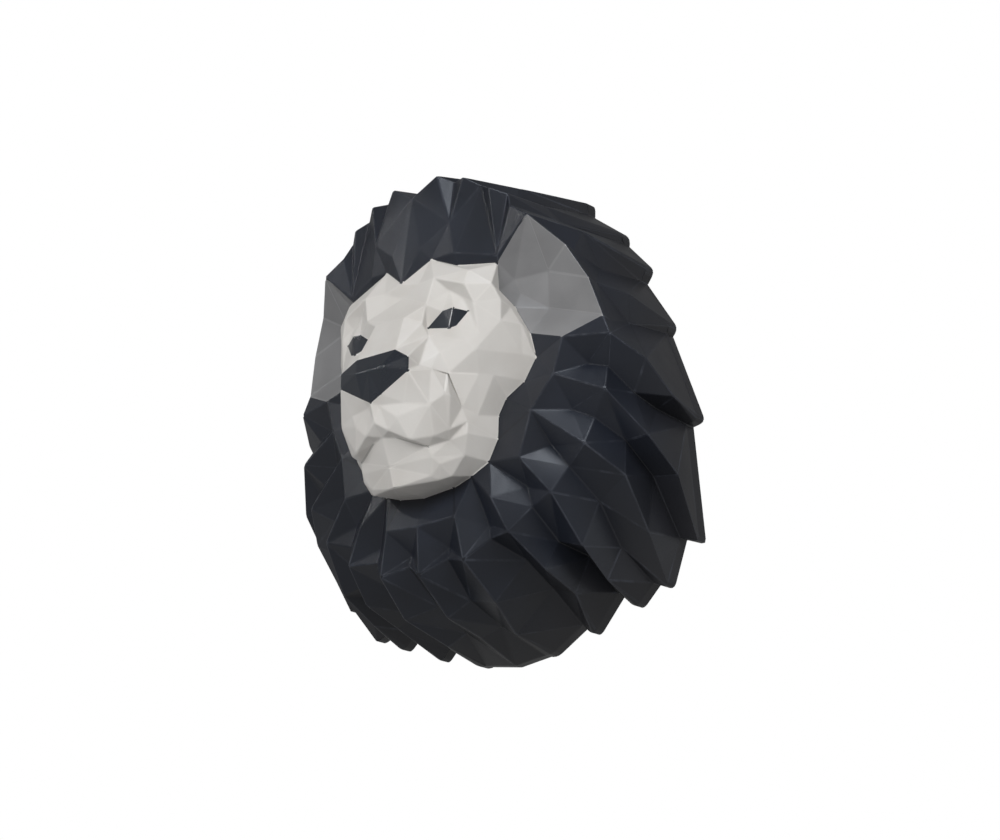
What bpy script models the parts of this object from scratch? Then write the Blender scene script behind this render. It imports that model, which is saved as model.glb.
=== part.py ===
"""A lion's head with its mane, cast in one piece in flat facets, made to hang on a wall.

The head looks along -Y and its closed back lies on the wall, in the plane Y = 0. The origin is
the hanging point in the middle of the back. One half is modelled and mirrored.

Sizes are in millimetres. A point is (across, out, up): across from the middle line towards the
lion's left, out from the wall, up from the hanging point. The mane is laid out in angles from
straight up and radii from the hanging point. Each feature works out its own points, the creases
join them, and the facets are the triangles that fill the net of creases.
"""

from math import atan2, cos, degrees, hypot, pi, radians, sin, sqrt

import bmesh
import bpy
from mathutils import Vector
from mathutils.geometry import delaunay_2d_cdt

MM = 0.001
MIRROR_MERGE = 0.0001

# The face is the front of an oval column that leans back above the brows
FACE_HALF_WIDTH = 90
FACE_SIDE_REACH = 88
FACE_DEPTH = 60
FOREHEAD_UP = 60
FOREHEAD_LEAN = 0.5

# The hairline is a circle with a corner at the temple, drawn in behind the jaw, tucked in at the chin
HAIRLINE_RADIUS = 90
HAIRLINE_ANGLES = (14, 28, 42, 50, 60, 74, 86, 97, 108, 119, 130, 141, 152, 163)
TEMPLE_ANGLE = 42
TEMPLE_CORNER = 15
JAW_ANGLES = (84, 142)
JAW_DRAW_IN = 21
CHIN_ANGLES = (110, 165)
CHIN_LIFT = 3
CHIN_TUCK = 23
CHIN_TUCK_EASE = 0.55

# The mane stands up round the face like a saddle, high at the crown and the chin. Its crest has a
# root where each lock begins and a hollow between two locks, and dips in front of the ears
MANE_REACH = 113
MANE_SADDLE = 21
MANE_FALL = 0.15
CREST_RADIUS = 152
CREST_RISE = 6
CREST_DIP = 11
PEAK_STAND = 3
HOLLOW_SINK = 9
HOLLOW_SET_IN = 10
CROWN_HOLLOW_SHARE = 0.4

# Tufts of the fringe over the forehead: angle and radius
FRINGE = {
    "forelock_tip": (0, 71),
    "forelock_root": (0, 97),
    "fringe_root": (8, 98),
    "fringe_high": (18, 120),
    "fringe_inner": (25, 98),
    "fringe_outer": (41, 110),
    "crown_dip": (0, 143),
}

# Tufts below the ear, a little uneven: a peak inside each root and a pit inside each hollow, at
# shares of the way from the hairline to the crest
PEAK_SHARE = 0.4
PIT_SHARE = 0.58
TUFT_STAND = 7
PIT_SINK = 8
RUFF_SWEEP = 7
SCATTER_ANGLE = 2
SCATTER_RADIUS = 3
SCATTER_STEP = 2.4

# The locks' roots stand evenly on the crest: four on the crown, one behind the ear, six on the side
CROWN_LOCKS = 4
CROWN_ROOT = 8
CROWN_SPACING = 9
EAR_ROOT = 67
SIDE_LOCKS = 6
SIDE_ROOT = 85
SIDE_PLACE = CROWN_LOCKS + 1
FOOT_PLACE = SIDE_PLACE + SIDE_LOCKS

# The tips of the locks on the wall, from the crown to the beard: angle, reach and step in behind
LOCKS = (
    (11, 174, 10),
    (25, 175, 10),
    (41, 163, 6),
    (55, 158, 11),
    (75, 155, 6),
    (102, 176, 10),
    (127, 213, 17),
    (138, 211, 12),
    (146, 202, 20),
    (158, 196, 12),
    (170, 194, 2),
)
NOTCH_TURN = 1.5
CROWN_ROWS = (0.45,)
SIDE_ROWS = (0.3, 0.64)
LOCK_BULGE = 9
VALLEY_SINK = 7
LOCK_SWAY = 3
LOCK_UNEVEN = 3
EDGE_THICKNESS = 9
TIP_ROUND = 4.5
RIM_TOP = 166
RIM_FOOT = 194
CROWN_BACK_SHARE = 0.55
CROWN_BULGE = 6

# The ear runs along the crest, hollow in front and thick behind
EAR_EDGE = ("ear_tip", "ear_bend", "ear_side", "ear_foot")
EAR_FROM = 43
EAR_SPACING = 12
EAR_BACKS = {"ear_bend": "hollow_3", "ear_side": "root_4", "ear_foot": "hollow_4"}
EAR_RADIUS = 148
EAR_TIP_STAND = 11
EAR_CUP = {"cup_high": (47, 101), "cup_low": (53, 96), "cup_back": (54, 122), "cup_foot": (65, 106)}
EAR_CUP_SINK = 12
EAR_THICKNESS = 13
EAR_BACK_IN = 3

# The nose
NOSE_REACH = 174
NOSE_UP = -5
NOSE_RISE = 14
NOSE_DROP = 24
NOSE_HALF_TOP = 19
NOSE_HALF_RIDGE = 12
NOSE_HALF_WIDTH = 33
NOSE_TOP_SET_BACK = 8
NOSE_FOOT_SET_BACK = 3
NOSTRIL_SET_BACK = 6
NOSTRIL_HALF_HEIGHT = 5.5
NOSTRIL_SHARES = {"nostril_foot": 0.3, "nose_cleft": 0.72}
BRIDGE_UP = 38
BRIDGE_REACH = 152
BRIDGE_HALF_WIDTH = 14

# The eye, a slanted almond: share of its length and rise of each corner of its lids
EYE_INNER = (26, 30)
EYE_LENGTH = 35
EYE_TILT = 13
EYE_SINK = 6
LID_STAND = 4
EYE_CREASE = 0.65
LIDS = {
    "lid_inner": (0.43, 7),
    "lid_outer": (0.7, 6),
    "low_outer": (0.76, -9),
    "low_inner": (0.6, -9),
}
FOLD_HIGH = (29, 47)
FOLD_RISE = 3
FOLD_DROP = 7
UNDER_EYE_DROP = 15

# The brow and the forehead
BROW_INNER = (34, 67)
BROW_PEAK = (59, 58)
BROW_END = (65, 43)
BROW_STAND = 4
BROW_RISE = 12
BROW_SPREAD = 16
SOCKET_SHARE = 0.35
SOCKET_SINK = 4
FOREHEAD_DISH = 10

# The temple and the cheek
TEMPLE_ACROSS = 79
TEMPLE_HIGH = 46
TEMPLE_LOW = 30
TEMPLE_STAND = 3
BAND_SLANT = 6
CHEEKBONE = (67, 20)
CHEEKBONE_DROP = 12
CHEEKBONE_LENGTH = 26
CHEEKBONE_STAND = 2
CHEEK_FOLDS = {"cheek_fold": (47, 0), "cheek_middle": (62, 8), "cheek_low": (68, 13)}
CHEEK_FOLD_UP = -8
CHEEK_SIDE = 84
CHEEK_SINK = 8
JAW_HINGE = (56, -37)
JAW_HOLLOW = 5
JAW_SINK = 17

# The muzzle, with a whisker pad that swells at its side
MUZZLE_REACH = 167
MUZZLE_SET_BACK = 40
MUZZLE_HALF_WIDTH = 54
MUZZLE_TOP = -4
MUZZLE_SLOPE = 0.4
MUZZLE_TOPS = {"muzzle_top": 34, "muzzle_brow": 40, "muzzle_back": 47}
PAD_FRONTS = {"pad_inner": (5, -31), "pad_front": (25, -32), "pad_foot": (20, -42)}
PAD_SIDES = {"pad_side": (43, -35), "pad_back": (49, -26), "pad_behind": (51, -27)}
PAD_BULGE = 9

# The mouth: shares of the way from the split in the upper lip to the corner
LIP_UP = -43
LIP_SAG = 16
LIP_SKEW = 1.2
LIP_TUCK = 5
LIP_SHARES = {
    "lip_split": 0,
    "lip_front": 0.2,
    "lip_turn": 0.48,
    "lip_low": 0.74,
    "lip_back": 0.87,
    "mouth_corner": 1,
}
MOUTH_SHARES = {"mouth_middle": 0, "mouth_front": 0.2, "mouth_low": 0.6, "mouth_back": 0.8}
MOUTH_SET_IN = 9
MOUTH_DROP = 3
LIP_CLEFT = 6

# The chin, and the jowl behind it
CHIN_HALF_WIDTH = 34
CHIN_TOP = -69
CHIN_FOOT = -84
CHIN_REACH = 150
CHIN_SET_BACK = 8
CHIN_TAPER = 5
CHIN_ROUND = 3
JOWL_ACROSS = 48
JOWL_SINK = 16
JOWL_DROP = 9

# The net is laid flat around this height, and this much of the depth is added to the radius
LAID_CENTRE_UP = -15
DEPTH_SHARE = 0.8

MIDDLE_LINE = """
crown_back crown_dip forelock_root forelock_tip forehead between_brows nose_top nose_ridge nose_foot
lip_split mouth_middle chin_front chin_foot throat ruff_12 root_11 ridge_11_1 ridge_11_2
""".split()

FACE_CREASES = """
forehead brow_root hair_14
forehead brow_inner brow_crest hair_14
brow_inner brow_peak brow_side hair_42
brow_crest hair_42
brow_inner socket_inner socket_outer brow_end brow_peak
brow_side temple_high band_high brow_side hair_50
band_high band_low hair_86
temple_high temple_low cheekbone brow_end
between_brows fold_high brow_inner
between_brows nose_bridge nose_corner
fold_high fold_low eye_inner lid_inner lid_outer eye_outer low_outer low_inner eye_inner
lid_outer low_inner
fold_low under_inner under_outer cheekbone_low
under_inner cheek_inner under_outer
nose_bridge fold_low
temple_low cheekbone_low cheekbone
cheek_inner cheek_fold cheek_middle cheekbone_low
cheek_fold cheek_hollow cheek_middle jaw_hinge cheek_hollow
cheek_middle cheek_low cheek_side band_low
cheek_low jaw_hinge
cheek_low hair_108
nose_top nose_corner nostril_top nostril_side nostril_foot nose_cleft nose_foot
nose_ridge nose_shoulder nose_corner
nose_shoulder nostril_side
muzzle_top muzzle_brow muzzle_back cheek_fold
muzzle_top nostril_top
muzzle_top under_inner
muzzle_brow pad_back lip_back
muzzle_back pad_behind lip_back
muzzle_back cheek_hollow
pad_front pad_inner pad_foot pad_front
pad_inner nose_foot
pad_front nostril_foot
muzzle_brow pad_side lip_low
lip_split lip_front lip_turn lip_low lip_back mouth_corner
mouth_middle mouth_front mouth_low mouth_back mouth_corner
mouth_corner cheek_hollow
mouth_corner jaw_hinge
mouth_low lower_lip jowl_high jowl_corner mouth_corner
lower_lip chin_side chin_foot
chin_front lower_lip
chin_side chin_back jowl_high
lower_lip chin_back
chin_foot under_chin under_jaw jowl_high
chin_side under_chin
jowl_high hair_141
under_jaw hair_152
under_chin hair_163
"""

MANE_CREASES = """
crown_dip root_0
crown_dip crown_back
root_0 fringe_high
fringe_high fringe_root forelock_root
fringe_root forelock_tip
fringe_root hair_14 fringe_high fringe_inner hair_28
hollow_1 fringe_inner fringe_outer hollow_1
fringe_outer hair_42
root_3 ear_tip
hollow_2 fringe_outer
hair_42 ear_tip cup_high hair_50
cup_high cup_low cup_back cup_high
hair_60 cup_low cup_foot cup_back
cup_back ear_bend
cup_back ear_side
hair_74 cup_foot ear_foot
hair_86 ruff_0
"""


def between(start, end, share, stand=0):
    """The point at a share of the way from start to end, moved out from the wall by stand."""
    return start.lerp(end, share) + Vector((0, stand, 0))


def on_face(across, up, stand=0):
    """A point of the face column, standing proud of it by stand."""
    bulge = FACE_DEPTH * sqrt(1 - (across / FACE_HALF_WIDTH) ** 2)
    lean = FOREHEAD_LEAN * max(0, up - FOREHEAD_UP)
    return Vector((across, FACE_SIDE_REACH + bulge - lean + stand, up))


def on_muzzle(across, up, stand=0):
    """A point of the muzzle, which is set back towards its sides."""
    set_back = MUZZLE_SET_BACK * (across / MUZZLE_HALF_WIDTH) ** 3
    return Vector((across, MUZZLE_REACH - set_back + stand, up))


def on_mane(angle, radius, stand=0):
    """A point of the mane's saddle."""
    turn = radians(angle)
    out = MANE_REACH + MANE_SADDLE * cos(2 * turn) - MANE_FALL * (radius - HAIRLINE_RADIUS)
    return Vector((radius * sin(turn), out + stand, radius * cos(turn)))


def part_way(value, start, end):
    """How far value lies on the way from start to end, between 0 and 1."""
    return min(max((value - start) / (end - start), 0), 1)


def scattered(column, row):
    """An uneven number between -1 and 1 for a tuft, the same in every build."""
    return sin(SCATTER_STEP * (column + 3 * row))


def hairline(angle):
    """The radius of the hairline."""
    draw_in = JAW_DRAW_IN * sin(pi * part_way(angle, *JAW_ANGLES)) ** 2
    lift = CHIN_LIFT * part_way(angle, *CHIN_ANGLES)
    corner = TEMPLE_CORNER if angle == TEMPLE_ANGLE else 0
    return HAIRLINE_RADIUS - draw_in - lift + corner


def chin_tuck(angle, share=0):
    """How far the mane sinks in under the chin, at a share of the way to the crest."""
    return CHIN_TUCK * part_way(angle, *CHIN_ANGLES) * (1 - CHIN_TUCK_EASE * share)


def on_hairline(angle):
    return on_mane(angle, hairline(angle), -chin_tuck(angle))


def on_wall(angle, radius):
    """A point of the front edge of the rim on the wall."""
    turn = radians(angle)
    return Vector((radius * sin(turn), EDGE_THICKNESS, radius * cos(turn)))


def on_crest(angle, set_in, stand):
    """A point of the crest of the mane."""
    radius = CREST_RADIUS + CREST_RISE * cos(radians(angle)) - set_in
    return on_mane(angle, radius, stand - chin_tuck(angle, share=1))


def swept(start, end, share, bulge, sway):
    """The point at a share of the way round from start to end, pushed outwards and turned by sway."""
    turn, radius, out = (
        near + (far - near) * share
        for near, far in (
            (atan2(start.x, start.z), atan2(end.x, end.z)),
            (hypot(start.x, start.z), hypot(end.x, end.z)),
            (start.y, end.y),
        )
    )
    radius += bulge
    turn += radians(sway)
    return Vector((radius * sin(turn), out, radius * cos(turn)))


def nose():
    """The flat top, the sides and the pointed foot of the nose, and the bridge above it."""
    top = NOSE_UP + NOSE_RISE
    top_out = NOSE_REACH - NOSE_TOP_SET_BACK
    side_out = NOSE_REACH - NOSTRIL_SET_BACK
    side = Vector((NOSE_HALF_WIDTH, side_out, NOSE_UP - NOSTRIL_HALF_HEIGHT))
    foot = Vector((0, NOSE_REACH - NOSE_FOOT_SET_BACK, NOSE_UP - NOSE_DROP))
    spots = {
        "nose_top": Vector((0, top_out, top)),
        "nose_corner": Vector((NOSE_HALF_TOP, top_out, top)),
        "nose_ridge": Vector((0, NOSE_REACH, NOSE_UP)),
        "nose_shoulder": Vector((NOSE_HALF_RIDGE, NOSE_REACH, NOSE_UP)),
        "nostril_top": Vector((NOSE_HALF_WIDTH, side_out, NOSE_UP + NOSTRIL_HALF_HEIGHT)),
        "nostril_side": side,
        "nose_foot": foot,
        "nose_bridge": Vector((BRIDGE_HALF_WIDTH, BRIDGE_REACH, BRIDGE_UP)),
        "between_brows": Vector((0, BRIDGE_REACH, BRIDGE_UP)),
    }
    spots.update({name: between(side, foot, share) for name, share in NOSTRIL_SHARES.items()})
    return spots


def eye():
    """The corners and lids of the eye, and the folds round it."""
    inner = on_face(*EYE_INNER, -EYE_SINK)
    tilt = radians(EYE_TILT)
    outer = on_face(inner.x + EYE_LENGTH * cos(tilt), inner.z + EYE_LENGTH * sin(tilt))
    spots = {
        "eye_inner": inner,
        "eye_outer": outer,
        "fold_high": on_face(*FOLD_HIGH),
        "fold_low": on_face(inner.x, inner.z + FOLD_RISE),
        "under_inner": on_face(inner.x + LID_STAND, inner.z - FOLD_DROP, -CHEEKBONE_STAND),
        "under_outer": on_face(outer.x, inner.z - UNDER_EYE_DROP, CHEEKBONE_STAND),
    }
    for name, (share, rise) in LIDS.items():
        stand = LID_STAND * part_way(share, 0, EYE_CREASE) * part_way(share, 1, EYE_CREASE)
        spots[name] = between(inner, outer, share, stand) + Vector((0, 0, rise))
    return spots


def brow(spots):
    """The brow over the eye, the socket below it and the dished forehead."""
    inner = on_face(*BROW_INNER, BROW_STAND / 2)
    across, up = BROW_PEAK
    end = on_face(*BROW_END, BROW_STAND)
    socket = between(inner, spots["eye_outer"], SOCKET_SHARE, -SOCKET_SINK)
    return {
        "forehead": on_face(0, FOREHEAD_UP, -FOREHEAD_DISH),
        "brow_root": on_face(inner.x / 2, inner.z, -BROW_STAND),
        "brow_inner": inner,
        "brow_peak": on_face(across, up, BROW_STAND),
        "brow_end": end,
        "brow_crest": on_face(across, up + BROW_RISE, BROW_STAND),
        "brow_side": on_face(across + BROW_SPREAD, up, BROW_STAND),
        "socket_inner": socket,
        "socket_outer": between(socket, end, 0.5, -SOCKET_SINK / 2),
    }


def cheek():
    """The temple and the band behind it, the cheekbone, and the folds down to the jaw."""
    across, up = CHEEKBONE
    low = up - CHEEKBONE_DROP
    spots = {
        "temple_high": on_face(TEMPLE_ACROSS, TEMPLE_HIGH, TEMPLE_STAND),
        "temple_low": on_face(TEMPLE_ACROSS, TEMPLE_LOW, TEMPLE_STAND),
        "band_high": on_face(TEMPLE_ACROSS, TEMPLE_HIGH - BAND_SLANT / 2, -CHEEK_SINK),
        "band_low": on_face(TEMPLE_ACROSS + BAND_SLANT, TEMPLE_LOW, -CHEEK_SINK / 2),
        "cheekbone": on_face(across, up, CHEEKBONE_STAND),
        "cheekbone_low": on_face(across - CHEEKBONE_STAND, low, CHEEKBONE_STAND),
        "cheek_inner": on_face(across - CHEEKBONE_LENGTH, low, CHEEKBONE_STAND),
        "cheek_side": on_face(CHEEK_SIDE, low, -CHEEK_SINK),
        "jaw_hinge": on_face(*JAW_HINGE, -JAW_SINK),
        "cheek_hollow": on_face(JAW_HINGE[0] - JAW_HOLLOW, JAW_HINGE[1] + JAW_HOLLOW, -CHEEK_SINK),
    }
    for name, (fold_across, sink) in CHEEK_FOLDS.items():
        spots[name] = on_face(fold_across, CHEEK_FOLD_UP, -sink)
    return spots


def lip_line(share):
    """A point of the upper lip's edge, which sags like a smile from the split to the corner."""
    sag = LIP_SAG * sin(pi * share ** LIP_SKEW)
    tuck = LIP_TUCK * sin(pi * share)
    return on_muzzle(MUZZLE_HALF_WIDTH * share, LIP_UP - sag, stand=-tuck)


def muzzle():
    """The top of the muzzle, the whisker pad, the edge of the upper lip and the slit of the mouth."""
    front = MUZZLE_TOPS["muzzle_top"]
    spots = {
        name: on_muzzle(across, MUZZLE_TOP - MUZZLE_SLOPE * (across - front))
        for name, across in MUZZLE_TOPS.items()
    }
    spots.update({name: on_muzzle(*place) for name, place in PAD_FRONTS.items()})
    spots.update({name: on_muzzle(*place, PAD_BULGE) for name, place in PAD_SIDES.items()})
    spots.update({name: lip_line(share) for name, share in LIP_SHARES.items()})
    inside = Vector((0, -MOUTH_SET_IN, -MOUTH_DROP))
    spots.update({name: lip_line(share) + inside for name, share in MOUTH_SHARES.items()})
    spots["mouth_middle"].z -= LIP_CLEFT
    return spots


def chin(spots):
    """The chin, its narrower foot, and the jowl that falls back to the throat."""
    out = CHIN_REACH - CHIN_SET_BACK
    behind = out - CHIN_TAPER
    under = behind - CHIN_TAPER
    return {
        "chin_front": Vector((0, CHIN_REACH, CHIN_TOP - CHIN_ROUND)),
        "chin_foot": Vector((0, out + CHIN_ROUND, CHIN_FOOT - CHIN_ROUND)),
        "lower_lip": Vector((CHIN_HALF_WIDTH, out, CHIN_TOP)),
        "chin_side": Vector((CHIN_HALF_WIDTH - CHIN_TAPER, behind, CHIN_FOOT + CHIN_ROUND)),
        "chin_back": Vector((CHIN_HALF_WIDTH + CHIN_ROUND, behind, CHIN_TOP - CHIN_TAPER)),
        "under_chin": Vector((CHIN_HALF_WIDTH - CHIN_ROUND, under, CHIN_FOOT)),
        "under_jaw": on_face(CHIN_HALF_WIDTH + CHIN_TAPER, CHIN_FOOT + CHIN_ROUND, -JOWL_SINK),
        "jowl_high": on_face(JOWL_ACROSS, CHIN_TOP + CHIN_ROUND, -JOWL_SINK),
        "jowl_corner": spots["mouth_corner"] - Vector((0, 0, JOWL_DROP)),
    }


def ear():
    spots = {
        name: on_mane(EAR_FROM + EAR_SPACING * place, EAR_RADIUS) for place, name in enumerate(EAR_EDGE)
    }
    spots["ear_tip"].y += EAR_TIP_STAND
    for name, behind in EAR_BACKS.items():
        spots[behind] = spots[name] - Vector((EAR_BACK_IN, EAR_THICKNESS, 0))
    for name, (angle, radius) in EAR_CUP.items():
        spots[name] = on_mane(angle, radius, -EAR_CUP_SINK)
    return spots


def hair():
    """The hairline and the fringe."""
    spots = {f"hair_{angle}": on_hairline(angle) for angle in HAIRLINE_ANGLES}
    spots["throat"] = on_hairline(180)
    spots.update({name: on_mane(*place, PEAK_STAND) for name, place in FRINGE.items()})
    return spots


def root_angles():
    """The angles of the locks' roots, and at last of the beard's in the middle."""
    crown = [CROWN_ROOT + CROWN_SPACING * place for place in range(CROWN_LOCKS)]
    spacing = (180 - SIDE_ROOT) / SIDE_LOCKS
    side = [SIDE_ROOT + spacing * place for place in range(SIDE_LOCKS + 1)]
    return crown + [EAR_ROOT] + side


def crest_names(first, last):
    """The names of the peaks and hollows along the crest, from one root to another."""
    names = [f"{kind}_{place}" for place in range(first, last) for kind in ("root", "hollow")]
    return names + [f"root_{last}"]


def crest(spots):
    """The roots of the locks and the hollows between them, but for those that the ear has."""
    angles = root_angles()
    for place, angle in enumerate(angles):
        dip = CREST_DIP * (place / (CROWN_LOCKS - 1)) ** 2 if place < CROWN_LOCKS else 0
        spots.setdefault(f"root_{place}", on_crest(angle, set_in=dip, stand=PEAK_STAND))
    for place, (near, far) in enumerate(zip(angles, angles[1:])):
        deep = CROWN_HOLLOW_SHARE if place < CROWN_LOCKS else 1
        hollow = on_crest((near + far) / 2, set_in=deep * HOLLOW_SET_IN, stand=-deep * HOLLOW_SINK)
        spots.setdefault(f"hollow_{place}", hollow)


def ruff(spots):
    """The peaks and pits of the tufts between the hairline and the crest."""
    for column, name in enumerate(crest_names(SIDE_PLACE, FOOT_PLACE)):
        is_peak = name.startswith("root")
        share, stand = (PEAK_SHARE, TUFT_STAND) if is_peak else (PIT_SHARE, -PIT_SINK)
        turn = atan2(spots[name].x, spots[name].z)
        uneven = scattered(column, is_peak)
        angle = degrees(turn) + (SCATTER_ANGLE * uneven - RUFF_SWEEP * (1 - share)) * sin(turn)
        radius = hairline(angle) + (CREST_RADIUS - hairline(angle)) * share + SCATTER_RADIUS * uneven
        spots[f"ruff_{column}"] = on_mane(angle, radius, stand - chin_tuck(angle, share))


def rim_corners():
    """The tips and notches of the rim on the wall, in order from crown to beard."""
    corners = {"rim_top": on_wall(0, RIM_TOP)}
    for place, (angle, reach, step) in enumerate(LOCKS):
        corners[f"tip_{place}"] = on_wall(angle, reach)
        corners[f"notch_{place}"] = on_wall(angle + NOTCH_TURN, reach - step)
    corners["rim_foot"] = Vector((0, EDGE_THICKNESS, -RIM_FOOT))
    return corners


def flank_lines():
    """The name, start on the crest and end on the rim of each ridge and valley of the flanks."""
    lines = [(f"ridge_{place}", f"root_{place}", f"tip_{place}") for place in range(FOOT_PLACE)]
    lines += [(f"valley_{place}", f"hollow_{place}", f"notch_{place}") for place in range(FOOT_PLACE)]
    return lines + [(f"ridge_{FOOT_PLACE}", f"root_{FOOT_PLACE}", "rim_foot")]


def flank_rows(name):
    """The shares of the way to the wall at which a ridge or valley has its points."""
    return CROWN_ROWS if int(name.split("_")[1]) < SIDE_PLACE else SIDE_ROWS


def flanks(spots):
    """The points of the ridges and valleys between the crest and the wall."""
    corners = rim_corners()
    for column, (name, start, end) in enumerate(flank_lines()):
        for row, share in enumerate(flank_rows(name), start=1):
            uneven = scattered(column, row)
            bulge = LOCK_BULGE * (1 - spots[start].z / CREST_RADIUS) * (1 - share) + LOCK_UNEVEN * uneven
            if name.startswith("valley"):
                bulge -= VALLEY_SINK
            sway = LOCK_SWAY * uneven
            spots[f"{name}_{row}"] = swept(spots[start], corners[end], share, bulge, sway)


def landmarks():
    """Every landmark of the half head by name, without those on the rim."""
    spots = {**nose(), **eye(), **cheek(), **muzzle(), **ear(), **hair()}
    spots.update(brow(spots))
    spots.update(chin(spots))
    crest(spots)
    ruff(spots)
    flanks(spots)
    spots["crown_back"] = between(spots["crown_dip"], on_wall(0, RIM_TOP), CROWN_BACK_SHARE)
    spots["crown_back"].z += CROWN_BULGE
    for name in MIDDLE_LINE:
        spots[name].x = 0
    return spots


def crease_chains():
    """The chains of landmark names that the creases follow."""
    chains = [line.split() for line in (FACE_CREASES + MANE_CREASES).splitlines()]
    chains.append(["forelock_tip"] + [f"hair_{angle}" for angle in HAIRLINE_ANGLES] + ["throat"])
    chains.append([*EAR_EDGE, f"root_{SIDE_PLACE}"])
    chains.append(["ear_tip", *EAR_BACKS.values(), f"root_{SIDE_PLACE}"])
    chains.append(crest_names(0, CROWN_LOCKS - 1))
    side = crest_names(SIDE_PLACE, FOOT_PLACE)
    chains.append(side)
    chains += [[f"ruff_{column}", name] for column, name in enumerate(side)]
    for name, start, end in flank_lines():
        rows = [f"{name}_{row}" for row in range(1, len(flank_rows(name)) + 1)]
        chains.append([start, *rows, end])
    return chains


def rounded(before, tip, after):
    """Three points that round the tip of a lock."""
    start = tip + (before - tip).normalized() * TIP_ROUND
    end = tip + (after - tip).normalized() * TIP_ROUND
    middle = between(between(start, end, 0.5), tip, 0.5)
    return [start, middle, end]


def rim_outline():
    """The outline of the rim with rounded tips, and the place in it of each corner."""
    corners = rim_corners()
    names = list(corners)
    spots = list(corners.values())
    outline = []
    places = {}
    for place, name in enumerate(names):
        if name.startswith("tip"):
            places[name] = len(outline) + 1
            outline += rounded(*spots[place - 1:place + 2])
        else:
            places[name] = len(outline)
            outline.append(spots[place])
    return outline, places


def laid_flat(spot):
    """Where a landmark lies when the head is spread out like a skin."""
    offset = Vector((spot.x, spot.z - LAID_CENTRE_UP))
    return offset * (1 + DEPTH_SHARE * (NOSE_REACH + 1 - spot.y) / offset.length)


def half_skin():
    """Points, triangles and rim indices of the facets on one half."""
    spots = landmarks()
    points = list(spots.values())
    index = {name: place for place, name in enumerate(spots)}

    outline, places = rim_outline()
    rim = list(range(len(points), len(points) + len(outline)))
    index.update({name: rim[place] for name, place in places.items()})
    points += outline

    middle = [rim[0]] + [index[name] for name in MIDDLE_LINE] + [rim[-1]]
    chains = [middle, rim]
    chains += [[index[name] for name in chain] for chain in crease_chains()]
    edges = [pair for chain in chains for pair in zip(chain, chain[1:])]
    border = middle[::-1] + rim[1:-1]

    flat = [laid_flat(point) for point in points]
    _, _, triangles, origins, _, _ = delaunay_2d_cdt(flat, edges, [border], 1, 1e-6)
    if any(not origin for origin in origins):
        raise ValueError("two creases cross")
    sources = [origin[0] for origin in origins]
    return points, [[sources[corner] for corner in triangle] for triangle in triangles], rim


def build_head(name, collection):
    """The half skin with its edge and back, mirrored across the middle."""
    points, triangles, rim = half_skin()
    mesh = bmesh.new()
    verts = [mesh.verts.new((point.x * MM, -point.y * MM, point.z * MM)) for point in points]
    for triangle in triangles:
        mesh.faces.new([verts[corner] for corner in triangle])
    front = [verts[corner] for corner in rim]
    back = [mesh.verts.new((vert.co.x, 0, vert.co.z)) for vert in front]
    for place in range(len(rim) - 1):
        mesh.faces.new((front[place], back[place], back[place + 1], front[place + 1]))
    mesh.faces.new(back)
    bmesh.ops.recalc_face_normals(mesh, faces=mesh.faces)

    data = bpy.data.meshes.new(name)
    mesh.to_mesh(data)
    mesh.free()
    head = bpy.data.objects.new(name, data)
    collection.objects.link(head)
    mirror = head.modifiers.new("Mirror", "MIRROR")
    mirror.use_axis = (True, False, False)
    mirror.use_clip = True
    mirror.merge_threshold = MIRROR_MERGE
    return head


def paint(head, name, colour, roughness):
    """One Principled BSDF material."""
    material = bpy.data.materials.new(name)
    material.use_nodes = True
    shader = material.node_tree.nodes["Principled BSDF"]
    shader.inputs["Base Color"].default_value = (*colour, 1.0)
    shader.inputs["Roughness"].default_value = roughness
    shader.inputs["Metallic"].default_value = 0.0
    head.data.materials.append(material)


def main():
    for old in list(bpy.data.objects):
        bpy.data.objects.remove(old, do_unlink=True)
    collection = bpy.data.collections.new("lion_head_wall_mask")
    bpy.context.scene.collection.children.link(collection)
    head = build_head("lion_head", collection)
    paint(head, "charcoal_paint", (0.045, 0.05, 0.06), 0.45)


if __name__ == "__main__":
    main()
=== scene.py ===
"""A faceted lion's head for the wall, cast in one piece and painted in four finishes.

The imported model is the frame. The casting takes its form from the model's head, gets softened
edges and is painted: a charcoal mane, an off-white face, grey ears, and a glossy nose and eyes.
Lengths are in metres unless a comment says otherwise.
"""

from math import cos, pi, radians, sin

import bmesh
import bpy
from bpy.props import FloatProperty, FloatVectorProperty, IntProperty, PointerProperty
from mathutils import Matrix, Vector
from mathutils.geometry import intersect_point_tri_2d


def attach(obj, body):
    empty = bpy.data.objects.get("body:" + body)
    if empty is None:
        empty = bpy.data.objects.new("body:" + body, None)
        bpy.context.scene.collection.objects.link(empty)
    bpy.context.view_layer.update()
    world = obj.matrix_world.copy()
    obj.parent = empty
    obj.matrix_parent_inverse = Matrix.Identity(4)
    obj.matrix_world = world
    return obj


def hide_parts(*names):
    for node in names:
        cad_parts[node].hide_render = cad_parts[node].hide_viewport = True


bl_info = {
    "name": "Faceted Lion Head",
    "version": (1, 0, 0),
    "blender": (4, 5, 0),
    "location": "View3D > Sidebar > Lion Head",
    "description": "Paints and lights a faceted lion head that hangs on a wall",
    "category": "Object",
}

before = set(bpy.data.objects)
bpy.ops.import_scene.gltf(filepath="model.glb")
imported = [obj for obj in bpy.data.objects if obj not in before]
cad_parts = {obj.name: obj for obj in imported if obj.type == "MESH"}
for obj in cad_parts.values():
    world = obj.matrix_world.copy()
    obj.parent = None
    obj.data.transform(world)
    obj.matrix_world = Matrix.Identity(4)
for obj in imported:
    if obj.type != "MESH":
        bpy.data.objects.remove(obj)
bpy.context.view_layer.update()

MM = 0.001
NODE = "lion_head"

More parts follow.
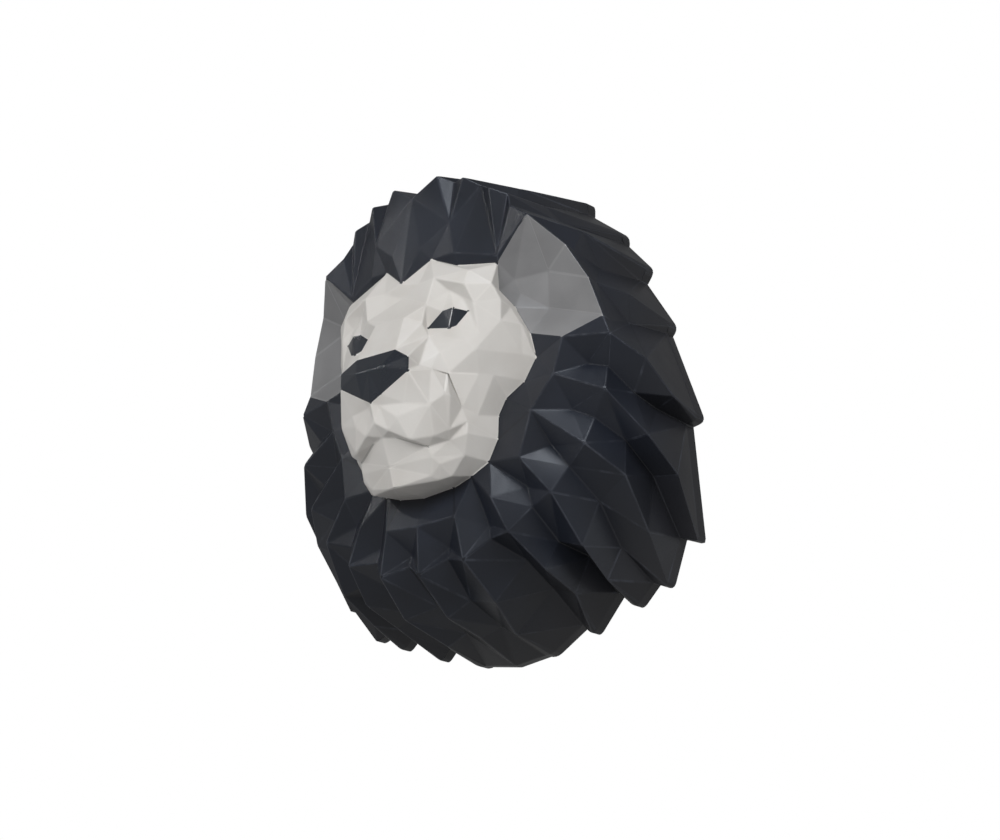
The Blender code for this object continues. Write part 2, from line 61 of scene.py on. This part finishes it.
# The paints, in the order of the casting's materials
MANE, FACE, EARS, GLOSS = range(4)

# The painted borders follow creases of the model. Places in the front view are given by their
# distance from the middle, in millimetres, and their angle from straight up, in degrees.
HAIRLINE_RADIUS = 90
HAIRLINE_ANGLES = (14, 28, 42, 50, 60, 74, 86, 97, 108, 119, 130, 141, 152, 163)
FORELOCK_RADIUS = 71
TEMPLE_ANGLE = 42
TEMPLE_CORNER = 15
JAW_ANGLES = (84, 142)
JAW_DRAW_IN = 21
CHIN_ANGLES = (110, 165)
CHIN_LIFT = 3
EAR_RADIUS = 148
EAR_ANGLES = (43, 55, 67, 79)
EAR_FOOT_ANGLE = 74

# The corners of the near half of the nose and of an eye: across and up, in millimetres
NOSE_CORNERS = ((0, 9), (19, 9), (33, 0), (33, -11), (0, -29))
EYE_CORNERS = ((26, 30), (41, 41), (50, 41), (60, 38), (52, 27), (47, 26))

# A facet of the ear faces forwards by more than this, with 1 for straight ahead, and stands
# further than this from the wall, in millimetres
EAR_FRONT_FACING = 0.15
EAR_LEAST_OUT = 78

# Vertices closer than the merge distance become one. An edge stays sharp where its facets meet at
# less than the least angle, in degrees, or where one of them is narrower than a narrow facet.
MERGE_DISTANCE = 0.01 * MM
LEAST_ANGLE = 3.0
NARROW_FACET = 0.003

# The marks on softened edges, and how far a strip of such an edge bends, from unmarked to fully
# marked, in radians
EDGE_MARK = "edge"
EDGE_BENDS = (0.06, 0.4)
CREASE_MARK = "crease"
CREASE_BENDS = (0.25, 0.55)

# Painted shade in the face's hollow creases goes only in the mouth: heights and least distance
# from the wall, in millimetres
MOUTH_HEIGHTS = (-66, -42)
MOUTH_LEAST_OUT = 125

# A painted warm reflection turns the mane brown between these depths, from the front to the wall
WARM_REFLECTION_DEPTHS = (-0.085, -0.004)

# The gloss of the nose and the eyes
COAT_WEIGHT = 0.6
COAT_ROUGHNESS = 0.12

# The stage. The rim light has only a share of the window's power.
WHITE = (1.0, 1.0, 1.0, 1.0)
FLOOR_REACH = 6.0
FLOOR_GREYS = ((0.88, 0.88, 0.88), (0.9, 0.9, 0.9))
FLOOR_ROUGHNESS = 0.9
KEY_PLACE = (0.25, -2.6, 0.75)
KEY_WIDTH = 1.4
SIDE_PLACE = (1.9, -0.9, 0.9)
SIDE_WIDTH = 1.2
EYE_GLINT_PLACE = (-0.77, -2.11, 0.86)
NOSE_GLINT_PLACE = (-1.64, -1.28, 1.2)
GLINT_WIDTH = 0.2
WINDOW_PLACE = (0.94, -0.94, 2.12)
RIM_PLACE = (2.19, 1.16, -0.35)
RIM_SHARE = 0.1
WINDOW_WIDTH = 1.0
WINDOW_COLOUR = (0.86, 0.92, 1.0)

# The photograph's camera: lens and sensor in millimetres, angles in degrees
CAMERA_LENS = 92.27
CAMERA_SENSOR = 36.0
CAMERA_AZIMUTH = 40
CAMERA_ELEVATION = -17.7
CAMERA_PLACE = (1.1943, -1.4497, -0.5994)
CAMERA_REACH = 50.0


class HeadSettings(bpy.types.PropertyGroup):
    """Sizes and colours of the painted casting."""

    edge_round: FloatProperty(
        name="Edge Round",
        description="How far a softened edge reaches into the facet on each side of it",
        default=0.0009,
        min=0.0,
        unit="LENGTH",
    )
    edge_steps: IntProperty(
        name="Edge Steps",
        description="Number of strips across a softened edge",
        default=3,
        min=1,
        max=4,
    )
    mane_colour: FloatVectorProperty(
        name="Mane",
        description="Charcoal paint of the mane",
        default=(0.013, 0.016, 0.0245),
        subtype="COLOR",
        min=0.0,
        max=1.0,
    )
    face_colour: FloatVectorProperty(
        name="Face",
        description="Off-white paint of the face",
        default=(0.70, 0.68, 0.65),
        subtype="COLOR",
        min=0.0,
        max=1.0,
    )
    ear_colour: FloatVectorProperty(
        name="Ears",
        description="Grey paint of the ears",
        default=(0.235, 0.235, 0.24),
        subtype="COLOR",
        min=0.0,
        max=1.0,
    )
    gloss_colour: FloatVectorProperty(
        name="Nose And Eyes",
        description="Glossy dark paint of the nose and the eyes",
        default=(0.010, 0.014, 0.022),
        subtype="COLOR",
        min=0.0,
        max=1.0,
    )


class StageSettings(bpy.types.PropertyGroup):
    """Floor, lights and surroundings."""

    floor_height: FloatProperty(
        name="Floor Height",
        description="Height of the floor, which is below the hanging point",
        default=-1.4,
        unit="LENGTH",
    )
    floor_glow: FloatProperty(
        name="Floor Glow",
        description="Brightness that the floor shows by itself, without lighting the head",
        default=0.55,
        min=0.0,
    )
    key_power: FloatProperty(
        name="Key Light",
        description="Power of the large soft light in front",
        default=40.0,
        min=0.0,
        unit="POWER",
    )
    side_power: FloatProperty(
        name="Side Light",
        description="Power of the soft light beside the head",
        default=21.0,
        min=0.0,
        unit="POWER",
    )
    shine: FloatProperty(
        name="Shine",
        description="Share of the key and side light that also shows as a reflection",
        default=0.2,
        min=0.0,
        max=1.0,
        subtype="FACTOR",
    )
    glint_power: FloatProperty(
        name="Glints",
        description="Power of each small light that shows only as a glint on the nose or in an eye",
        default=3.0,
        min=0.0,
        unit="POWER",
    )
    window_power: FloatProperty(
        name="Window",
        description="Power of the high bluish light that shows only as a reflection, on the mane",
        default=20.0,
        min=0.0,
        unit="POWER",
    )
    sky_strength: FloatProperty(
        name="Surroundings Above",
        description="Brightness of the fill light that comes from straight above",
        default=0.12,
        min=0.0,
    )
    ground_strength: FloatProperty(
        name="Surroundings Below",
        description="Brightness of the fill light that comes from the horizon and below it",
        default=0.32,
        min=0.0,
    )


class Value:
    """A number that changes over a surface. Arithmetic on it adds Math nodes."""

    def __init__(self, paint, socket):
        self.paint = paint
        self.socket = socket

    def maths(self, operation, other):
        """The result of a Math node on this value and another value or number."""
        return self.paint.node("ShaderNodeMath", {"operation": operation}, {0: self, 1: other})

    def __add__(self, other):
        return self.maths("ADD", other)

    __radd__ = __add__

    def __mul__(self, other):
        return self.maths("MULTIPLY", other)

    __rmul__ = __mul__


class Paint:
    """A material with one Principled BSDF, and the nodes that vary it over the surface."""

    def __init__(self, name):
        self.material = bpy.data.materials.new(name)
        self.material.use_nodes = True
        self.tree = self.material.node_tree
        self.inputs = self.tree.nodes["Principled BSDF"].inputs
        self.place = self.node("ShaderNodeTexCoord", {}, {}, output="Object")

    def node(self, kind, settings, inputs, output=0):
        """Adds a node, sets it up and returns one of its outputs."""
        made = self.tree.nodes.new(kind)
        for name, value in settings.items():
            setattr(made, name, value)
        for key, value in inputs.items():
            self.feed(made.inputs[key], value)
        return Value(self, made.outputs[output])

    def feed(self, socket, value):
        """Links a value to a socket, or sets the socket to a number, a vector or a colour."""
        if isinstance(value, Value):
            self.tree.links.new(value.socket, socket)
        else:
            socket.default_value = value

    def stretched(self, scale, turn):
        """The place on the piece, turned and stretched along the axes."""
        inputs = {"Vector": self.place, "Rotation": turn, "Scale": scale}
        return self.node("ShaderNodeMapping", {}, inputs)

    def noise(self, scale, detail=2.0, vector=None):
        """A cloudy pattern, by the place on the piece unless another vector is given."""
        inputs = {"Vector": vector or self.place, "Scale": scale, "Detail": detail}
        return self.node("ShaderNodeTexNoise", {}, inputs, output="Fac")

    def attribute(self, name):
        """A mark that the piece's own mesh carries."""
        return self.node("ShaderNodeAttribute", {"attribute_name": name}, {}, output="Fac")

    def stepped(self, value, low, high):
        """A soft step from 0 at low to 1 at high."""
        inputs = {"Value": value, "From Min": low, "From Max": high}
        return self.node("ShaderNodeMapRange", {"interpolation_type": "SMOOTHSTEP"}, inputs)

    def blend(self, mask, start, end):
        """A colour between two colours."""
        settings = {"data_type": "RGBA"}
        inputs = {0: mask, 6: as_colour(start), 7: as_colour(end)}
        return self.node("ShaderNodeMix", settings, inputs, output=2)

    def bump(self, height, strength, distance):
        """A fine relief that is only shaded."""
        inputs = {"Height": height, "Strength": strength, "Distance": distance}
        return self.node("ShaderNodeBump", {}, inputs, output="Normal")

    def finish(self, colour, roughness, normal):
        """Feeds the shader and returns the material."""
        self.feed(self.inputs["Base Color"], colour)
        self.feed(self.inputs["Roughness"], roughness)
        self.feed(self.inputs["Normal"], normal)
        return self.material


def as_colour(value):
    """A link stays as it is, and three numbers get a full alpha."""
    if isinstance(value, Value):
        return value
    return (*value, 1.0)


def tinted(colour, red, green, blue):
    """A colour with each of its parts made darker or lighter by a share."""
    return (colour[0] * red, colour[1] * green, colour[2] * blue)


def scaled(colour, share):
    """A colour made darker or lighter by a share."""
    return tinted(colour, share, share, share)


def mane_paint(colour):
    """Mottled satin charcoal, with painted edge highlights and a painted brown rim reflection."""
    paint = Paint("mane_paint")
    warm_reflection = tinted(colour, red=1.9, green=1.5, blue=1.05)
    edge_highlight_colour = tinted(colour, red=4.2, green=3.8, blue=3.2)
    mottle = paint.noise(scale=14.0, detail=4.0)
    along = paint.stretched(scale=(160.0, 40.0, 22.0), turn=(0.3, 0.0, 0.5))
    strokes = paint.noise(scale=1.0, detail=3.0, vector=along)
    depth = paint.node("ShaderNodeSeparateXYZ", {}, {"Vector": paint.place}, output="Y")
    # Painted reflection of warm surroundings: browner towards the rim, mottled
    rim = paint.stepped(depth, *WARM_REFLECTION_DEPTHS) * (0.5 + 0.4 * mottle)
    # Painted highlight: paler strokes along the edges that stand out, where light catches them
    edge_highlight = paint.attribute(EDGE_MARK) * (0.1 + 0.5 * paint.stepped(strokes, low=0.42, high=0.7))
    # Painted shade: darker in the hollow creases, where shade falls
    dark = paint.attribute(CREASE_MARK) * 0.6
    clouds = paint.stepped(mottle, low=0.3, high=0.7)
    base = paint.blend(clouds, scaled(colour, 0.8), scaled(colour, 1.2))
    base = paint.blend(rim, base, warm_reflection)
    base = paint.blend(edge_highlight, base, edge_highlight_colour)
    base = paint.blend(dark, base, scaled(colour, 0.4))
    peel = paint.noise(scale=650.0)
    grit = paint.noise(scale=2600.0, detail=1.0)
    relief = peel * 0.7 + strokes * 0.6 + grit * 0.25
    return paint.finish(
        colour=base,
        roughness=0.30 + 0.14 * strokes + 0.05 * peel,
        normal=paint.bump(relief, strength=0.25, distance=0.0003),
    )


def face_paint(colour):
    """Warm off-white eggshell paint, with painted shade where the facets meet in a hollow."""
    paint = Paint("face_paint")
    grey = tinted(colour, red=0.92, green=0.91, blue=0.90)
    mottle = paint.noise(scale=26.0, detail=4.0)
    # Painted highlight: a little paler on the edges that stand out
    edge_highlight = paint.attribute(EDGE_MARK) * 0.5
    # Painted shade: darker in the mouth's hollow creases, where shade falls
    crease_shade = paint.attribute(CREASE_MARK) * (0.55 + 0.4 * mottle)
    base = paint.blend(paint.stepped(mottle, low=0.35, high=0.75), colour, grey)
    base = paint.blend(edge_highlight, base, scaled(colour, 1.1))
    base = paint.blend(crease_shade, base, scaled(colour, 0.22))
    peel = paint.noise(scale=700.0)
    return paint.finish(
        colour=base,
        roughness=0.36 + 0.14 * mottle + 0.05 * peel,
        normal=paint.bump(peel + mottle * 0.4, strength=0.22, distance=0.0003),
    )


def ear_paint(colour):
    """Mid grey satin paint, a little mottled."""
    paint = Paint("ear_paint")
    mottle = paint.noise(scale=30.0, detail=3.0)
    # Painted highlight: paler on the edges that stand out
    edge_highlight = paint.attribute(EDGE_MARK) * 0.5
    # Painted shade: darker in the hollow creases, where shade falls
    dark = paint.attribute(CREASE_MARK) * 0.5
    clouds = paint.stepped(mottle, low=0.3, high=0.7)
    base = paint.blend(clouds, scaled(colour, 0.92), scaled(colour, 1.08))
    base = paint.blend(edge_highlight, base, scaled(colour, 1.5))
    base = paint.blend(dark, base, scaled(colour, 0.5))
    peel = paint.noise(scale=700.0)
    return paint.finish(
        colour=base,
        roughness=0.36 + 0.14 * mottle,
        normal=paint.bump(peel + mottle * 0.4, strength=0.22, distance=0.0003),
    )


def gloss_paint(colour):
    """Dark paint under a clear gloss, for the nose and the eyes."""
    paint = Paint("gloss_paint")
    mottle = paint.noise(scale=40.0)
    paint.feed(paint.inputs["Coat Weight"], COAT_WEIGHT)
    paint.feed(paint.inputs["Coat Roughness"], COAT_ROUGHNESS)
    peel = paint.noise(scale=420.0, detail=1.0)
    return paint.finish(
        colour=paint.blend(mottle, scaled(colour, 0.85), scaled(colour, 1.15)),
        roughness=0.24 + 0.08 * mottle,
        normal=paint.bump(peel, strength=0.04, distance=0.0002),
    )


def around(angle, radius):
    """The front view's place (across, up) at an angle from straight up, in millimetres."""
    turn = radians(angle)
    return Vector((radius * sin(turn), radius * cos(turn)))


def part_way(value, start, end):
    """How far value lies on the way from start to end, between 0 and 1."""
    return min(max((value - start) / (end - start), 0), 1)


def hairline(angle):
    """The radius of the hairline at an angle from straight up, in millimetres."""
    draw_in = JAW_DRAW_IN * sin(pi * part_way(angle, *JAW_ANGLES)) ** 2
    lift = CHIN_LIFT * part_way(angle, *CHIN_ANGLES)
    corner = TEMPLE_CORNER if angle == TEMPLE_ANGLE else 0
    return HAIRLINE_RADIUS - draw_in - lift + corner


def both_sides(half):
    """A whole outline from its near half, whose first and last places are on the middle line."""
    return half + [Vector((-place.x, place.y)) for place in half[-2:0:-1]]


FACE_OUTLINE = both_sides([
    around(0, FORELOCK_RADIUS),
    *[around(angle, hairline(angle)) for angle in HAIRLINE_ANGLES],
    around(180, hairline(180)),
])
NOSE_OUTLINE = both_sides([Vector(corner) for corner in NOSE_CORNERS])
EYE_OUTLINE = [Vector(corner) for corner in EYE_CORNERS]
EAR_OUTLINE = [
    around(angle, hairline(angle))
    for angle in reversed(HAIRLINE_ANGLES)
    if TEMPLE_ANGLE <= angle <= EAR_FOOT_ANGLE
]
EAR_OUTLINE += [around(angle, EAR_RADIUS) for angle in EAR_ANGLES]


def inside(place, outline):
    """Whether a place in the front view lies inside a convex or star-shaped outline."""
    middle = sum(outline, Vector((0.0, 0.0))) / len(outline)
    corners = zip(outline, outline[1:] + outline[:1])
    return any(intersect_point_tri_2d(place, middle, near, far) for near, far in corners)


def rear_vert(mesh, place):
    """The vertex at a place in the front view, or the rear one of two."""
    def order(vert):
        away = (Vector((vert.co.x, vert.co.z)) / MM - place).length
        return round(away), -vert.co.y

    return min(mesh.verts, key=order)


def within_hairline(mesh):
    """The facets of the face, found from the nose outwards as far as the hairline."""
    line = [rear_vert(mesh, place) for place in FACE_OUTLINE]
    border = {frozenset(pair) for pair in zip(line, line[1:] + line[:1])}
    found = set()
    reached = [min(mesh.faces, key=lambda facet: facet.calc_center_median().y)]
    while reached:
        facet = reached.pop()
        found.add(facet)
        for edge in facet.edges:
            if frozenset(edge.verts) not in border:
                reached += [other for other in edge.link_faces if other not in found]
    if len(found) > len(mesh.faces) / 2:
        raise ValueError("the hairline doesn't close round the face")
    return found


def whereabouts(facet):
    """The middle of a facet: its place in the front view's near half, and how far it stands out."""
    centre = facet.calc_center_median() / MM
    return Vector((abs(centre.x), centre.z)), -centre.y


def skin_paint(place):
    """The paint at a place within the hairline."""
    glossy = any(inside(place, outline) for outline in (NOSE_OUTLINE, EYE_OUTLINE))
    return GLOSS if glossy else FACE


def paint_of(facet, face_facets):
    """The paint of a facet of the model."""
    place, out = whereabouts(facet)
    if facet in face_facets:
        return skin_paint(place)
    in_front = facet.normal.y < -EAR_FRONT_FACING and out > EAR_LEAST_OUT
    if in_front and inside(place, EAR_OUTLINE):
        return EARS
    return MANE


def height_of(facet):
    """The height of a triangular facet over its longest side."""
    return 2 * facet.calc_area() / max(edge.calc_length() for edge in facet.edges)


def is_softened(edge):
    """Whether an edge has an angle, between two facets that are wide enough."""
    wide = all(height_of(facet) > NARROW_FACET for facet in edge.link_faces)
    return wide and edge.calc_face_angle(0.0) > radians(LEAST_ANGLE)


def trim_gloss(strips):
    """Lets the softened edges of the nose and the eyes be glossy exactly up to their outline."""
    for strip in strips:
        if strip.material_index in (FACE, GLOSS):
            strip.material_index = skin_paint(whereabouts(strip)[0])


def mark_edges(mesh, strips):
    """Marks the softened edges that stand out, and those that sink in."""
    edge_mark = mesh.faces.layers.float[EDGE_MARK]
    crease_mark = mesh.faces.layers.float[CREASE_MARK]
    for strip in strips:
        bends = [edge.calc_face_angle_signed(0.0) for edge in strip.edges]
        bend = max(bends, key=abs)
        # The edge mark carries the painted highlight on the edges that stand out
        strip[edge_mark] = part_way(bend, *EDGE_BENDS)
        # The crease mark carries painted shade in the hollow creases, on the face only in the mouth
        place, out = whereabouts(strip)
        in_mouth = MOUTH_HEIGHTS[0] < place.y < MOUTH_HEIGHTS[1] and out > MOUTH_LEAST_OUT
        if in_mouth or strip.material_index != FACE:
            strip[crease_mark] = part_way(-bend, *CREASE_BENDS)


class LIONHEAD_OT_casting(bpy.types.Operator):
    """Make the painted casting from the model's head"""

    bl_idname = "lionhead.casting"
    bl_label = "Painted Casting"

    def execute(self, context):
        settings = context.scene.lion_head
        data = self.softened(settings)
        for material in (
            mane_paint(settings.mane_colour),
            face_paint(settings.face_colour),
            ear_paint(settings.ear_colour),
            gloss_paint(settings.gloss_colour),
        ):
            data.materials.append(material)
        piece = bpy.data.objects.new("lion_head_casting", data)
        context.scene.collection.objects.link(piece)
        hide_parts(NODE)
        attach(piece, "root")
        return {"FINISHED"}

    def softened(self, settings):
        """The mesh of the model's head with softened edges, its paints and its marks."""
        mesh = bmesh.new()
        mesh.from_mesh(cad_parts[NODE].data)
        for mark in (EDGE_MARK, CREASE_MARK):
            mesh.faces.layers.float.new(mark)
        bmesh.ops.remove_doubles(mesh, verts=mesh.verts, dist=MERGE_DISTANCE)
        bmesh.ops.recalc_face_normals(mesh, faces=mesh.faces)
        face_facets = within_hairline(mesh)
        for facet in mesh.faces:
            facet.material_index = paint_of(facet, face_facets)
        strips = bmesh.ops.bevel(
            mesh,
            geom=[edge for edge in mesh.edges if is_softened(edge)],
            affect="EDGES",
            offset=settings.edge_round,
            offset_type="OFFSET",
            segments=settings.edge_steps,
            profile=0.5,
            material=-1,
            clamp_overlap=True,
        )["faces"]
        trim_gloss(strips)
        mark_edges(mesh, strips)
        bmesh.ops.triangulate(mesh, faces=[face for face in mesh.faces if len(face.verts) > 4])
        data = bpy.data.meshes.new("lion_head_casting")
        mesh.to_mesh(data)
        mesh.free()
        return data


class LIONHEAD_OT_stage(bpy.types.Operator):
    """Set up the floor, the soft lights, the surroundings and the camera"""

    bl_idname = "lionhead.stage"
    bl_label = "Stage"

    def execute(self, context):
        settings = context.scene.lion_stage
        self.add_floor(context, settings)
        self.add_surroundings(context, settings)
        for name, place, width, power in (
            ("key_light", KEY_PLACE, KEY_WIDTH, settings.key_power),
            ("side_light", SIDE_PLACE, SIDE_WIDTH, settings.side_power),
        ):
            matte_power = power * (1 - settings.shine)
            matte = self.add_light(context, name + "_matte", place, width, matte_power)
            matte.visible_glossy = False
            self.add_light(context, name, place, width, power * settings.shine)
        for name, place, width, power, colour in (
            ("eye_glint", EYE_GLINT_PLACE, GLINT_WIDTH, settings.glint_power, WHITE[:3]),
            ("nose_glint", NOSE_GLINT_PLACE, GLINT_WIDTH, settings.glint_power, WHITE[:3]),
            ("window", WINDOW_PLACE, WINDOW_WIDTH, settings.window_power, WINDOW_COLOUR),
            ("rim", RIM_PLACE, WINDOW_WIDTH, settings.window_power * RIM_SHARE, WINDOW_COLOUR),
        ):
            reflection = self.add_light(context, name, place, width, power)
            reflection.data.color = colour
            reflection.visible_diffuse = False
        self.add_camera(context)
        return {"FINISHED"}

    def add_floor(self, context, settings):
        """A pale floor that shows a glow of its own and throws no light at the head."""
        mesh = bmesh.new()
        bmesh.ops.create_grid(mesh, x_segments=1, y_segments=1, size=FLOOR_REACH)
        bmesh.ops.translate(mesh, verts=mesh.verts, vec=(0.0, 0.0, settings.floor_height))
        data = bpy.data.meshes.new("floor")
        mesh.to_mesh(data)
        mesh.free()
        paint = Paint("floor_paint")
        paint.feed(paint.inputs["Base Color"], paint.blend(paint.noise(scale=2.0), *FLOOR_GREYS))
        paint.feed(paint.inputs["Roughness"], FLOOR_ROUGHNESS)
        paint.feed(paint.inputs["Emission Color"], WHITE)
        paint.feed(paint.inputs["Emission Strength"], settings.floor_glow)
        data.materials.append(paint.material)
        floor = bpy.data.objects.new("floor", data)
        floor.visible_diffuse = False
        floor.visible_glossy = False
        context.scene.collection.objects.link(floor)

    def add_surroundings(self, context, settings):
        """Full white for the camera, and a weaker white fill for everything else."""
        world = bpy.data.worlds.new("white_surroundings")
        world.use_nodes = True
        nodes = world.node_tree.nodes
        links = world.node_tree.links
        direction = nodes.new("ShaderNodeTexCoord")
        height = nodes.new("ShaderNodeSeparateXYZ")
        links.new(direction.outputs["Generated"], height.inputs["Vector"])
        strength = nodes.new("ShaderNodeMapRange")
        strength.inputs["To Min"].default_value = settings.ground_strength
        strength.inputs["To Max"].default_value = settings.sky_strength
        links.new(height.outputs["Z"], strength.inputs["Value"])
        fill = nodes.new("ShaderNodeBackground")
        links.new(strength.outputs["Result"], fill.inputs["Strength"])
        backdrop = nodes["Background"]
        backdrop.inputs["Strength"].default_value = 1.0
        for background in (fill, backdrop):
            background.inputs["Color"].default_value = WHITE
        rays = nodes.new("ShaderNodeLightPath")
        mix = nodes.new("ShaderNodeMixShader")
        links.new(rays.outputs["Is Camera Ray"], mix.inputs["Fac"])
        links.new(fill.outputs["Background"], mix.inputs[1])
        links.new(backdrop.outputs["Background"], mix.inputs[2])
        links.new(mix.outputs["Shader"], nodes["World Output"].inputs["Surface"])
        context.scene.world = world
        context.scene.view_settings.view_transform = "Standard"

    def add_light(self, context, name, place, width, power):
        """A round light that points at the hanging point."""
        light = bpy.data.lights.new(name, "AREA")
        light.shape = "DISK"
        light.size = width
        light.energy = power
        lamp = bpy.data.objects.new(name, light)
        lamp.location = place
        lamp.rotation_euler = (-Vector(place)).to_track_quat("-Z", "Y").to_euler()
        context.scene.collection.objects.link(lamp)
        return lamp

    def add_camera(self, context):
        """The photograph's view."""
        camera = bpy.data.cameras.new("camera")
        camera.lens = CAMERA_LENS
        camera.sensor_width = CAMERA_SENSOR
        camera.clip_end = CAMERA_REACH
        eye = bpy.data.objects.new("camera", camera)
        eye.location = CAMERA_PLACE
        eye.rotation_euler = (radians(90 - CAMERA_ELEVATION), 0.0, radians(CAMERA_AZIMUTH))
        context.scene.collection.objects.link(eye)
        context.scene.camera = eye


class LIONHEAD_PT_panel(bpy.types.Panel):
    """Sizes, colours and steps of the lion head"""

    bl_idname = "LIONHEAD_PT_panel"
    bl_label = "Lion Head"
    bl_space_type = "VIEW_3D"
    bl_region_type = "UI"
    bl_category = "Lion Head"

    def draw(self, context):
        layout = self.layout
        for settings in (context.scene.lion_head, context.scene.lion_stage):
            for name in settings.bl_rna.properties.keys():
                if name not in {"rna_type", "name"}:
                    layout.prop(settings, name)
        layout.operator(LIONHEAD_OT_casting.bl_idname)
        layout.operator(LIONHEAD_OT_stage.bl_idname)


CLASSES = (HeadSettings, StageSettings, LIONHEAD_OT_casting, LIONHEAD_OT_stage, LIONHEAD_PT_panel)


def register():
    for kind in CLASSES:
        bpy.utils.register_class(kind)
    bpy.types.Scene.lion_head = PointerProperty(type=HeadSettings)
    bpy.types.Scene.lion_stage = PointerProperty(type=StageSettings)


def unregister():
    del bpy.types.Scene.lion_stage
    del bpy.types.Scene.lion_head
    for kind in reversed(CLASSES):
        bpy.utils.unregister_class(kind)


def main():
    """Makes the head and the stage."""
    register()
    bpy.ops.lionhead.casting()
    bpy.ops.lionhead.stage()


if __name__ == "__main__":
    main()
